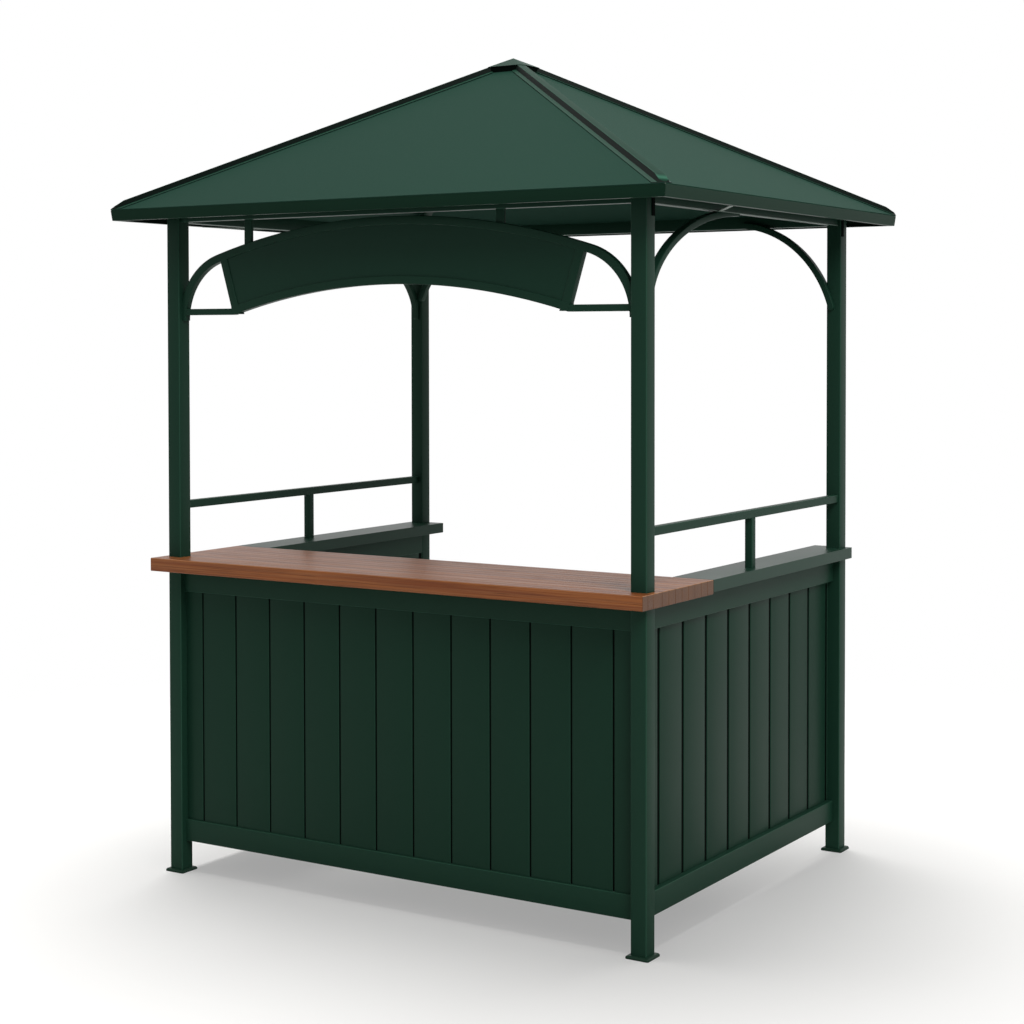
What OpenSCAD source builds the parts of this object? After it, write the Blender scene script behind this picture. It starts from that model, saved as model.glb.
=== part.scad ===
// Garden bar pavilion: four square posts, boarded lower walls on three sides,
// a wooden serving counter, a steel shelf down each side, a name-board arch over
// the counter and a four-sided sheet roof. Millimetres, +Z up, front towards -Y.
// The origin is the centre of the plan on the ground.

/* [Frame] */
// Width over the posts
frame_w = 1750; // [1300:10:2400]
// Depth over the posts
frame_d = 1400; // [1000:10:2000]
// Width of a square post
post_w = 50; // [40:1:80]
// Wall of every steel tube
tube_wall = 2; // [1.5:0.5:3]
// Height of the beams' underside
beam_z = 2095; // [1950:5:2300]
// Height of a beam
beam_h = 40; // [30:1:60]
// Thickness of a beam
beam_t = 30; // [20:1:40]

/* [Feet] */
// How far a foot plate stands out from its post
foot_lip = 12; // [6:1:30]
// Height of a foot plate
foot_h = 9; // [5:1:15]

/* [Lower walls] */
// Height of the bottom rails' underside
bottom_rail_z = 100; // [60:5:200]
// Height of a rail
rail_h = 70; // [40:5:100]
// Depth that a front rail is set back from the posts' face
front_rail_set = 20; // [10:1:25]
// Depth that a side rail is set back from the posts' face
side_rail_set = 24; // [10:1:26]
// Depth that the front boards are set back from the front rails' face
front_board_set = 7; // [3:1:12]
// Depth that the side boards are set back from the side rails' face
side_board_set = 18; // [3:1:18]
// Thickness of the boards
board_t = 6; // [4:1:8]

/* [Counter and shelves] */
// Height of the counter's top
counter_z = 1020; // [900:5:1150]
// Thickness of the counter
counter_t = 42; // [25:1:60]
// Depth of the counter, front to back
counter_d = 430; // [300:5:600]
// Counter's overhang in front of the posts
counter_front = 62; // [20:1:150]
// Overhang of the counter and shelves beyond the posts at each side
counter_side = 22; // [5:1:80]
// Width of a side shelf
shelf_w = 134; // [100:1:220]
// Thickness of a side shelf
shelf_t = 36; // [20:1:40]
// Wall of a side shelf's folded sheet
shelf_wall = 2; // [1.5:0.5:3]
// Height of the handrails' top
handrail_z = 1198; // [1120:2:1400]
// Side of the handrails' and uprights' square tube
handrail_w = 25; // [20:1:40]
// Depth that a handrail is set back from the posts' outer face
handrail_set = 7; // [2:1:12]

/* [Arch and name board] */
// Height of the arch's crown
arch_crown_z = 2087; // [1950:1:2300]
// Height where the arch leaves the posts
arch_foot_z = 1780; // [1600:1:1900]
// Outer radius of the arch's two ends
arch_end_r = 215; // [150:1:260]
// Side of the arch's square bar
arch_bar = 25; // [15:1:40]
// Depth that the arch is set back from the posts' front face
arch_set = 15; // [5:1:25]
// Half length of the name board along its top corners
board_top_half = 675; // [500:1:700]
// Half length of the name board along its bottom corners
board_bottom_half = 607; // [450:1:660]
// Height of the name board's bottom corners
board_foot_z = 1797; // [1600:1:1900]
// Height of the name board's bottom edge at its middle
board_mid_z = 1884; // [1700:1:1950]
// Thickness of the name board's sheet
board_sheet_t = 3; // [2:0.5:6]
// Depth that the name board's sheet is set back from its frame's face
board_sheet_set = 4; // [1:0.5:10]
// Height of the level stays beside the name board
stay_h = 20; // [12:1:30]
// Places of the hangers along the front, from the middle
hanger_x = [-557, 383];
// Width of a hanger
hanger_w = 28; // [20:1:50]

/* [Braces] */
// Reach of a side brace along its beam
side_brace_reach = 560; // [300:10:600]
// Drop of a side brace's full curve
side_brace_drop = 284; // [200:2:450]
// Depth of a side brace's upper end below its beam, to the bar's middle line
side_brace_set = 8; // [0:1:9]
// Reach of a back brace's full curve along the back beam
back_brace_reach = 345; // [200:5:450]
// Drop of a back brace's full curve below the beam
back_brace_drop = 390; // [200:5:450]
// Distance from the beam down to the right back brace's lower end
back_brace_foot = 270; // [150:1:300]
// How far the left one, which stands beside a side brace, ends above that
back_brace_short = 48; // [40:1:100]
// How far a back brace laps over its post
back_brace_lap = 18; // [5:1:25]
// How far a back brace stands proud of its post's inner side
back_brace_proud = 12; // [4:1:20]
// Width of a brace's bar
brace_bar = 25; // [15:1:30]
// Thickness of a brace's bar
brace_t = 20; // [10:1:25]

/* [Roof] */
// Overhang of the roof beyond the posts
eave_over = 125; // [60:5:250]
// Height of the eave's top edge
eave_z = 2132; // [2000:1:2400]
// Rise of the roof sheets from the eave to their point
roof_rise = 488; // [250:2:800]
// Thickness of a roof sheet
sheet_t = 2; // [1:0.5:4]
// Height of an eave trim
fascia_h = 34; // [20:1:60]
// How far an eave trim leans in at its foot
fascia_lean = 4; // [0:1:10]
// Width of an eave trim's bottom return
fascia_return = 16; // [8:1:30]
// Width of a hip cap's raised strip
hip_cap_w = 33; // [25:1:70]
// Height of a hip cap's raised strip
hip_cap_h = 14; // [6:1:25]
// How far a hip cap's raised sides lean in
hip_cap_lean = 3; // [0:0.5:6]
// Width of a hip cap's flange
hip_flange = 11; // [8:1:30]
// Half width of the top cap over the roof's point
top_cap_half = 66; // [48:1:120]
// Side of a hip rafter's square tube
rafter_w = 30; // [20:1:40]

/* [Hidden] */
// Clearance round a post where it passes through a counter or shelf
pass_gap = 1;
// Clearance between sheets and trims that lie beside each other
sheet_gap = 0.5;
// Clearance between a hanger's foot and the arch, which is made of straight steps
hanger_gap = 0.2;
// Number of straight steps in a curved bar
curve_steps = 20;
// How far the hip caps run in under the top cap's edge
top_cap_lap = 9;
// Clearance between the upper ends of the rafters
hip_spread = 3;
// Overlap that makes a cut run right through
cut = 1;

half_w = frame_w / 2;
half_d = frame_d / 2;
inner_w = frame_w - 2 * post_w;
inner_d = frame_d - 2 * post_w;
counter_under = counter_z - counter_t;
top_rail_z = counter_under - rail_h;
roof_half_w = half_w + eave_over;
roof_half_d = half_d + eave_over;
front_slope = atan2(roof_rise, roof_half_d);
side_slope = atan2(roof_rise, roof_half_w);
hip_run = norm([roof_half_w, roof_half_d]);
hip_slope = atan2(roof_rise, hip_run);
hip_turn = atan2(roof_half_d, roof_half_w);
hip_len = norm([hip_run, roof_rise]);
// Tilt of the two roof sheets across a hip, seen along the hip
front_tilt = atan(tan(front_slope) * cos(hip_turn) * cos(hip_slope));
side_tilt = atan(tan(side_slope) * sin(hip_turn) * cos(hip_slope));
// How far a rafter's top face lies under the hip, so that its edges clear the sheets
rafter_sink = rafter_w / 2 * tan(max(front_tilt, side_tilt));

arch_front_y = -half_d + arch_set;
arch_over = post_w / 4;
arch_end_x = inner_w / 2 + arch_over - arch_end_r;
arch_fall = arch_crown_z - arch_foot_z;
// Radius of the arch's long middle, which meets the ends without a kink
arch_mid_r = (arch_end_x * arch_end_x + arch_fall * arch_fall - arch_end_r * arch_end_r)
    / (2 * (arch_fall - arch_end_r));
arch_meet = atan2(arch_end_x, arch_foot_z - (arch_crown_z - arch_mid_r));
board_fall = board_mid_z - board_foot_z;
board_low_r = (board_bottom_half * board_bottom_half + board_fall * board_fall)
    / (2 * board_fall);
board_low_half_angle = asin(board_bottom_half / board_low_r);

module green() color([0.11, 0.21, 0.17]) children();
module dark_green() color([0.08, 0.16, 0.13]) children();
module roof_green() color([0.22, 0.34, 0.29]) children();
module timber() color([0.42, 0.27, 0.17]) children();

// Square or oblong tube along Z, open at both ends, from the origin upwards
module tube_z(size_x, size_y, len) {
    linear_extrude(len) difference() {
        square([size_x, size_y], center = true);
        square([size_x - 2 * tube_wall, size_y - 2 * tube_wall], center = true);
    }
}

// Tube centred on the origin along X
module tube_x(len, size_y, size_z) {
    translate([-len / 2, 0, 0]) rotate([90, 0, 90]) tube_z(size_y, size_z, len);
}

// Tube centred on the origin along Y
module tube_y(len, size_x, size_z) {
    translate([0, len / 2, 0]) rotate([90, 0, 0]) tube_z(size_x, size_z, len);
}

// ---- Posts and feet ----

// A post, cut on a slope to the underside of its rafter
module post(side_x, side_y) {
    green() difference() {
        translate([side_x * (half_w - post_w / 2), side_y * (half_d - post_w / 2), foot_h])
            tube_z(post_w, post_w, eave_z + roof_rise - foot_h);
        along_hip(atan2(side_y * roof_half_d, side_x * roof_half_w))
            translate([0, -2 * post_w, -rafter_w - rafter_sink])
                cube([hip_len + post_w, 4 * post_w, 2 * hip_len]);
    }
}
module post_front_left() post(-1, -1);
module post_front_right() post(1, -1);
module post_back_left() post(-1, 1);
module post_back_right() post(1, 1);

// A plate under each post, with its top edge sloped off
module foot_plate() {
    plate_w = post_w + 2 * foot_lip;
    step = foot_h / 3;
    cube_low = [plate_w, plate_w, foot_h - step];
    translate([0, 0, cube_low[2] / 2]) cube(cube_low, center = true);
    translate([0, 0, foot_h - step])
        linear_extrude(step, scale = (plate_w - 2 * step) / plate_w)
            square(plate_w, center = true);
}
module foot_plates() {
    dark_green() for (sx = [-1, 1], sy = [-1, 1])
        translate([sx * (half_w - post_w / 2), sy * (half_d - post_w / 2), 0]) foot_plate();
}

// ---- Lower walls ----

front_rail_t = post_w - front_rail_set;
side_rail_t = post_w - side_rail_set;

module front_rail(z) {
    green() translate([0, -half_d + front_rail_set + front_rail_t / 2, z + rail_h / 2])
        tube_x(inner_w, front_rail_t, rail_h);
}
module side_rail(side, z) {
    green() translate([side * (half_w - side_rail_set - side_rail_t / 2), 0, z + rail_h / 2])
        tube_y(inner_d, side_rail_t, rail_h);
}
module front_bottom_rail() front_rail(bottom_rail_z);
module front_top_rail() front_rail(top_rail_z);
module left_bottom_rail() side_rail(-1, bottom_rail_z);
module left_top_rail() side_rail(-1, top_rail_z);
module right_bottom_rail() side_rail(1, bottom_rail_z);
module right_top_rail() side_rail(1, top_rail_z);

boards_z = bottom_rail_z + rail_h;
boards_h = top_rail_z - boards_z;

module front_boards() {
    green() translate([-inner_w / 2, -half_d + front_rail_set + front_board_set, boards_z])
        cube([inner_w, board_t, boards_h]);
}
module side_boards(side) {
    green() translate([side * (half_w - side_rail_set - side_board_set - board_t / 2),
        0, boards_z + boards_h / 2])
        cube([board_t, inner_d, boards_h], center = true);
}
module left_boards() side_boards(-1);
module right_boards() side_boards(1);

// ---- Counter, shelves and handrails ----

counter_y = -half_d - counter_front;
counter_back_y = counter_y + counter_d;
counter_w = frame_w + 2 * counter_side;

// The square hole that a post passes through
module post_hole(side_x, side_y, z, depth) {
    hole = post_w + 2 * pass_gap;
    translate([side_x * (half_w - post_w / 2), side_y * (half_d - post_w / 2), z + depth / 2])
        cube([hole, hole, depth + 2 * cut], center = true);
}

module counter_top() {
    timber() difference() {
        translate([-counter_w / 2, counter_y, counter_under])
            cube([counter_w, counter_d, counter_t]);
        for (sx = [-1, 1]) post_hole(sx, -1, counter_under, counter_t);
    }
}

shelf_under = counter_z - shelf_t;
shelf_x = counter_w / 2 - shelf_w / 2;
shelf_front_y = counter_back_y + sheet_gap;
shelf_len = half_d - shelf_front_y;
cap_t = shelf_wall;

// A folded sheet shelf, open at its front end where it meets the counter,
// on a packing strip that lies on the top rail
module side_shelf(side) {
    green() difference() {
        union() {
            translate([side * shelf_x, shelf_front_y + (shelf_len - cap_t) / 2,
                shelf_under + shelf_t / 2])
                cube([shelf_w, shelf_len - cap_t, shelf_t], center = true);
            translate([side * (half_w - side_rail_set - side_rail_t / 2),
                (shelf_front_y + inner_d / 2) / 2, (counter_under + shelf_under) / 2])
                cube([side_rail_t, inner_d / 2 - shelf_front_y, shelf_under - counter_under],
                    center = true);
        }
        translate([side * shelf_x, shelf_front_y + shelf_len / 2, shelf_under + shelf_t / 2])
            cube([shelf_w - 2 * shelf_wall, shelf_len + 2 * cut, shelf_t - 2 * shelf_wall],
                center = true);
        post_hole(side, 1, shelf_under, shelf_t);
    }
}
module left_shelf() side_shelf(-1);
module right_shelf() side_shelf(1);

// A plate that closes the back end of each shelf
module shelf_end_caps() {
    dark_green() for (side = [-1, 1]) difference() {
        translate([side * shelf_x, half_d - cap_t / 2, shelf_under + shelf_t / 2])
            cube([shelf_w, cap_t, shelf_t], center = true);
        post_hole(side, 1, shelf_under, shelf_t);
    }
}

handrail_x = half_w - handrail_set - handrail_w / 2;

module handrail(side) {
    green() translate([side * handrail_x, 0, handrail_z - handrail_w / 2])
        tube_y(inner_d, handrail_w, handrail_w);
}
module left_handrail() handrail(-1);
module right_handrail() handrail(1);
module handrail_uprights() {
    green() for (side = [-1, 1]) translate([side * handrail_x, 0, counter_z])
        tube_z(handrail_w, handrail_w, handrail_z - handrail_w - counter_z);
}

// ---- Beams ----

module long_beam(side) {
    green() translate([0, side * (half_d - post_w / 2), beam_z + beam_h / 2])
        tube_x(inner_w, beam_t, beam_h);
}
module short_beam(side) {
    green() translate([side * (half_w - post_w / 2), 0, beam_z + beam_h / 2])
        tube_y(inner_d, beam_t, beam_h);
}
module front_beam() long_beam(-1);
module back_beam() long_beam(1);
module left_beam() short_beam(-1);
module right_beam() short_beam(1);

// ---- Arch and name board, drawn as an elevation in X and Z ----

// Stands a flat elevation up so that its front face lies at y
module elevation(y, depth) {
    translate([0, y + depth, 0]) rotate([90, 0, 0]) linear_extrude(depth) children();
}

// Points round an arc; angles run from the upright, clockwise
function arc(cx, cz, r, from, to) =
    [for (i = [0 : curve_steps])
        let (a = from + (to - from) * i / curve_steps) [cx + r * sin(a), cz + r * cos(a)]];
function flip(points) = [for (i = [len(points) - 1 : -1 : 0]) points[i]];

// A bar of one width that follows an arc
module arc_bar(cx, cz, r_out, bar, from, to) {
    polygon(concat(arc(cx, cz, r_out, from, to), flip(arc(cx, cz, r_out - bar, from, to))));
}

arch_mid_z = arch_crown_z - arch_mid_r;
// Height of the arch's top edge at a place along the front
function arch_top(x) = arch_mid_z + sqrt(arch_mid_r * arch_mid_r - x * x);
board_low_z = board_mid_z - board_low_r;

module arch_top_bar() {
    green() elevation(arch_front_y, arch_bar)
        arc_bar(0, arch_mid_z, arch_mid_r, arch_bar, -arch_meet, arch_meet);
}

// The tighter curve at one end of the arch
module end_ring(side) {
    mirror([side > 0 ? 0 : 1, 0])
        arc_bar(arch_end_x, arch_foot_z, arch_end_r, arch_bar, arch_meet, 90);
}

// One end of the arch, cut off by the post's face, down to its foot
module arch_end(side) {
    elevation(arch_front_y, arch_bar) intersection() {
        end_ring(side);
        translate([-inner_w / 2, 0]) square([inner_w, arch_crown_z]);
    }
}
module arch_ends() {
    green() for (side = [-1, 1]) arch_end(side);
}

// How far the name board's ends lean out for each millimetre of height
board_lean = (board_top_half - board_bottom_half)
    / (arch_top(board_top_half) - board_foot_z);

// The name board's slanting ends, drawn in by a distance, run up to the arch's crown
function between_ends(inset, foot) =
    let (low = board_bottom_half - inset,
        high = low + board_lean * (arch_crown_z - board_foot_z))
    concat(foot, [[high, arch_crown_z], [-high, arch_crown_z]]);

// The arch's underside from foot to foot, with everything above it
module above_underside() {
    polygon(concat(
        [[-inner_w / 2, arch_foot_z]],
        arc(-arch_end_x, arch_foot_z, arch_end_r - arch_bar, -90, -arch_meet),
        arc(0, arch_mid_z, arch_mid_r - arch_bar, -arch_meet, arch_meet),
        arc(arch_end_x, arch_foot_z, arch_end_r - arch_bar, arch_meet, 90),
        [[inner_w / 2, arch_foot_z],
        [inner_w / 2, arch_crown_z + cut], [-inner_w / 2, arch_crown_z + cut]]));
}
// Everything inside the name board's outer edges, under the arch
module under_arch() {
    difference() {
        polygon(between_ends(0,
            arc(0, board_low_z, board_low_r, -board_low_half_angle, board_low_half_angle)));
        above_underside();
    }
}
// Everything inside the name board's two end bars
module inside_ends() {
    low = board_bottom_half - arch_bar;
    polygon(between_ends(arch_bar, [[-low, board_foot_z], [low, board_foot_z]]));
}
module low_bar_shape() {
    arc_bar(0, board_low_z, board_low_r + arch_bar, arch_bar,
        -board_low_half_angle, board_low_half_angle);
}

module name_board_bottom_bar() {
    green() elevation(arch_front_y, arch_bar) intersection() {
        low_bar_shape();
        under_arch();
    }
}
module name_board_end_bars() {
    green() elevation(arch_front_y, arch_bar) difference() {
        under_arch();
        inside_ends();
        low_bar_shape();
    }
}
module name_board_sheet() {
    dark_green() elevation(arch_front_y + board_sheet_set, board_sheet_t)
        difference() {
            intersection() {
                under_arch();
                inside_ends();
            }
            low_bar_shape();
        }
}

// Level stays from the name board's bottom corners to the posts
module name_board_stays() {
    green() elevation(arch_front_y, arch_bar) for (side = [-1, 1]) difference() {
        translate([side > 0 ? board_bottom_half : -inner_w / 2 + arch_over, board_foot_z])
            square([inner_w / 2 - arch_over - board_bottom_half, stay_h]);
        under_arch();
        end_ring(side);
    }
}

module arch_hangers() {
    green() elevation(arch_front_y + arch_bar / 4, arch_bar / 2) for (x = hanger_x)
        polygon([
            [x - hanger_w / 2, arch_top(x - hanger_w / 2) + hanger_gap],
            [x + hanger_w / 2, arch_top(x + hanger_w / 2) + hanger_gap],
            [x + hanger_w / 2, beam_z],
            [x - hanger_w / 2, beam_z]]);
}

// ---- Corner braces ----

// A quarter-oval bar in the corner between a post (x = 0) and a beam (y = 0), down to
// its foot: its middle line starts upright on the post and runs out level under the beam
module brace_shape(reach, drop, foot, set = 0) {
    intersection() {
        translate([0, -set]) difference() {
            oval_corner(reach, drop, brace_t / 2);
            oval_corner(reach, drop, -brace_t / 2);
        }
        translate([0, -foot]) square([reach, foot]);
    }
}
// Everything on the inner side of a quarter oval that is grown by an amount
module oval_corner(reach, drop, grow) {
    polygon(concat(
        [for (i = [0 : curve_steps]) let (a = 90 * i / curve_steps)
            [reach - (reach + grow) * cos(a), -drop + (drop + grow) * sin(a)]],
        [[reach + brace_t, grow], [reach + brace_t, -drop - brace_t], [-grow, -drop - brace_t]]));
}
// One under the right beam at its front, and one under the left beam at its back
module side_braces() {
    green() for (side = [-1, 1])
        translate([side * (half_w - post_w / 2 + brace_bar / 2), -side * inner_d / 2, beam_z])
            rotate([90, 0, side * 90]) mirror([0, 0, 1]) linear_extrude(brace_bar)
                brace_shape(side_brace_reach, side_brace_drop,
                    side_brace_drop + side_brace_set, side_brace_set);
}
// One at each end of the back beam, lapped over the inner side of its post
module back_braces() {
    // How far the curve has come in from its own upright end by the height of the foot
    run = back_brace_reach * (1 - cos(asin(1 - back_brace_foot / back_brace_drop)));
    green() for (side = [-1, 1]) difference() {
        translate([side * (inner_w / 2 + back_brace_lap + run),
                inner_d / 2 - back_brace_proud, beam_z])
            mirror([side > 0 ? 1 : 0, 0, 0]) rotate([90, 0, 0]) mirror([0, 0, 1])
                linear_extrude(brace_bar)
                    brace_shape(back_brace_reach, back_brace_drop,
                        back_brace_foot - (side < 0 ? back_brace_short : 0));
        translate([side * (half_w - post_w / 2), half_d - post_w / 2, beam_z - back_brace_foot])
            cube([post_w, post_w, 3 * back_brace_foot], center = true);
    }
}

// ---- Roof ----

roof_top = eave_z + roof_rise;

// Lays something drawn along X, upright in Z, under one hip: x runs down the hip
// from the roof's point, y across it
module along_hip(turn) {
    translate([0, 0, roof_top]) rotate([0, 0, turn]) rotate([0, hip_slope, 0]) children();
}
hip_turns = [hip_turn, 180 - hip_turn, 180 + hip_turn, -hip_turn];

module hip_rafters() {
    // Far enough down the hips for the rafters' upper ends to stay apart
    start = rafter_w / 2 / tan(min(hip_turn, 90 - hip_turn)) / cos(hip_slope)
        + (rafter_w + rafter_sink) * tan(hip_slope) + hip_spread;
    green() for (turn = hip_turns) along_hip(turn)
        translate([start, -rafter_w / 2, -rafter_w - rafter_sink])
            cube([hip_len - rafter_w - start, rafter_w, rafter_w]);
}

// A three-cornered sheet: its foot lies on the eave and its point on the roof's top
module roof_sheet(turn, half_base, run, slope) {
    trim = sheet_gap / tan(atan2(run / cos(slope), half_base) / 2);
    roof_green() rotate([0, 0, turn]) translate([0, -run, eave_z]) rotate([slope, 0, 0])
        linear_extrude(sheet_t)
            polygon([[-half_base + trim, 0], [half_base - trim, 0],
                [0, run / cos(slope) * (1 - trim / half_base)]]);
}
module roof_sheet_front() roof_sheet(0, roof_half_w, roof_half_d, front_slope);
module roof_sheet_back() roof_sheet(180, roof_half_w, roof_half_d, front_slope);
module roof_sheet_left() roof_sheet(-90, roof_half_d, roof_half_w, side_slope);
module roof_sheet_right() roof_sheet(90, roof_half_d, roof_half_w, side_slope);

// Folded strip over a hip, as a section across it: y towards the side sheet
module hip_cap_section(low, high) {
    edge = hip_cap_w / 2;
    tip = edge + hip_flange;
    polygon([
        [-tip, -tip * low + sheet_t + sheet_gap],
        [0, sheet_t + sheet_gap],
        [tip, -tip * high + sheet_t + sheet_gap],
        [tip, -tip * high + 2 * sheet_t + sheet_gap],
        [edge, -edge * high + 2 * sheet_t + sheet_gap],
        [edge - hip_cap_lean, hip_cap_h],
        [-edge + hip_cap_lean, hip_cap_h],
        [-edge, -edge * low + 2 * sheet_t + sheet_gap],
        [-tip, -tip * low + 2 * sheet_t + sheet_gap]]);
}
module hip_caps() {
    half_cap = hip_cap_w / 2 + hip_flange;
    start = top_cap_half / cos(hip_turn) / cos(hip_slope)
        - hip_cap_h * tan(hip_slope) - top_cap_lap;
    roof_green() for (i = [0 : 3]) intersection() {
        low = i % 2 == 0 ? tan(side_tilt) : tan(front_tilt);
        high = i % 2 == 0 ? tan(front_tilt) : tan(side_tilt);
        along_hip(hip_turns[i]) translate([start, 0, 0]) rotate([90, 0, 90])
            linear_extrude(hip_len - start + half_cap) hip_cap_section(low, high);
        translate([0, 0, roof_top - roof_rise / 2])
            cube([2 * roof_half_w, 2 * roof_half_d, 2 * roof_rise], center = true);
    }
}

// Cap over the roof's point: four broad faces, and a narrow one in line with each hip
// cap's top, which it lies on
module roof_top_cap() {
    lift = hip_cap_h / cos(hip_slope) + sheet_gap + sheet_t;
    roof_green() translate([0, 0, roof_top + lift]) difference() {
        cap_point();
        translate([0, 0, -sheet_t]) cap_point();
    }
}
module cap_point() {
    out = top_cap_half / cos(hip_turn);
    side = hip_cap_w / 2 - hip_cap_lean;
    foot = -out * tan(hip_slope);
    polyhedron(
        points = concat([for (turn = [-hip_turn, hip_turn, 180 - hip_turn, 180 + hip_turn],
                way = [-1, 1])
            [out * cos(turn) - way * side * sin(turn),
                out * sin(turn) + way * side * cos(turn), foot]], [[0, 0, 0]]),
        faces = concat([[for (i = [0 : 7]) i]], [for (i = [0 : 7]) [(i + 1) % 8, i, 8]]));
}

// Folded trim along one eave: a leaning face with a return at its foot
module eave_trim(turn, half_len, run) {
    lap = fascia_return + fascia_lean;
    roof_green() rotate([0, 0, turn]) intersection() {
        translate([-half_len, -run, eave_z]) rotate([90, 0, 90]) linear_extrude(2 * half_len)
            polygon([[0, 0], [fascia_lean, -fascia_h], [lap, -fascia_h],
                [lap, -fascia_h + sheet_t], [fascia_lean + sheet_t, -fascia_h + sheet_t],
                [sheet_t, -sheet_gap], [sheet_t, 0]]);
        translate([0, 0, eave_z - 2 * fascia_h]) linear_extrude(3 * fascia_h)
            polygon([[-half_len + sheet_gap, -run], [half_len - sheet_gap, -run],
                [half_len - sheet_gap - 2 * lap, -run + 2 * lap],
                [-half_len + sheet_gap + 2 * lap, -run + 2 * lap]]);
    }
}
module eave_trim_front() eave_trim(0, roof_half_w, roof_half_d);
module eave_trim_back() eave_trim(180, roof_half_w, roof_half_d);
module eave_trim_left() eave_trim(-90, roof_half_d, roof_half_w);
module eave_trim_right() eave_trim(90, roof_half_d, roof_half_w);

post_front_left();
post_front_right();
post_back_left();
post_back_right();
foot_plates();
front_bottom_rail();
front_top_rail();
front_boards();
left_bottom_rail();
left_top_rail();
left_boards();
right_bottom_rail();
right_top_rail();
right_boards();
counter_top();
left_shelf();
right_shelf();
shelf_end_caps();
left_handrail();
right_handrail();
handrail_uprights();
front_beam();
back_beam();
left_beam();
right_beam();
arch_top_bar();
arch_ends();
name_board_sheet();
name_board_bottom_bar();
name_board_end_bars();
name_board_stays();
arch_hangers();
side_braces();
back_braces();
hip_rafters();
roof_sheet_front();
roof_sheet_back();
roof_sheet_left();
roof_sheet_right();
hip_caps();
roof_top_cap();
eave_trim_front();
eave_trim_back();
eave_trim_left();
eave_trim_right();
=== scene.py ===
"""Garden bar pavilion: rounded steel tubes, grooved boards, a planked counter, folded
roof trim and their finishes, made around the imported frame.

Sizes are in metres. Places come from the frame's boxes, so a new frame moves everything.
"""
from math import asin, atan2, cos, hypot, pi, radians, sin, tan

import bmesh
import bpy
import numpy as np
from bpy.props import FloatProperty, FloatVectorProperty, PointerProperty
from mathutils import Euler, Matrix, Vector


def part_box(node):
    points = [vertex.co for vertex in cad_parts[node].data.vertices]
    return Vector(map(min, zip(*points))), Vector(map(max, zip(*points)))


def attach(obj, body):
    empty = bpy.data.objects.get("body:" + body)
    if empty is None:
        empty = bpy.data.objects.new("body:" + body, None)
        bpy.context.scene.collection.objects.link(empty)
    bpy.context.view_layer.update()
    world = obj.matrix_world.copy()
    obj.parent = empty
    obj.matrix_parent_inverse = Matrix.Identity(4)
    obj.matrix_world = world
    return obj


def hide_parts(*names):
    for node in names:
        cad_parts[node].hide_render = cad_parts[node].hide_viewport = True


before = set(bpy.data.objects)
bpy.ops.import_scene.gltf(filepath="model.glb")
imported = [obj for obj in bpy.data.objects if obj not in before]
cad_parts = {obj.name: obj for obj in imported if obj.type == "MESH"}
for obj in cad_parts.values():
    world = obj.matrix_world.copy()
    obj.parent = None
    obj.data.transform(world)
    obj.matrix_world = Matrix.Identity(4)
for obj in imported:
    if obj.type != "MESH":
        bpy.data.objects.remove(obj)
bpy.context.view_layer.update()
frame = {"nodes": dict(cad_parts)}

bl_info = {
    "name": "Garden bar pavilion",
    "version": (1, 0, 0),
    "blender": (4, 5, 0),
    "location": "View3D > Sidebar > Pavilion",
    "description": "Builds the pavilion's visible pieces and finishes around its frame",
    "category": "Object",
}

BODY = "root"
EDGE_STEPS = 4
CURVE_STEPS = 48
SMOOTH_ANGLE = radians(35)
HIDDEN_LAP = 0.0004  # how far one flush face lies behind another, so that the two never coincide
MITRE_GAP = 0.0005  # how far the frame's front eave trim stops short of the roof's corner
SHEET = 0.0020  # thickness of the eave trims and hip caps
SHEET_GAP = 0.0005  # between the roof sheets' planes and the hip caps
CUT_EDGE = 0.0006  # radius of a sheet's cut edges
FOLD = 0.0010  # radius of a sheet's tight folds


# ---------------------------------------------------------------------------
# Settings
# ---------------------------------------------------------------------------

def length(name, description, default):
    return FloatProperty(name=name, description=description, default=default,
                         min=0.0, unit="LENGTH", precision=4)


def paint(name, description, default):
    return FloatVectorProperty(name=name, description=description, default=default,
                               min=0.0, max=1.0, size=3, subtype="COLOR_GAMMA")


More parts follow.
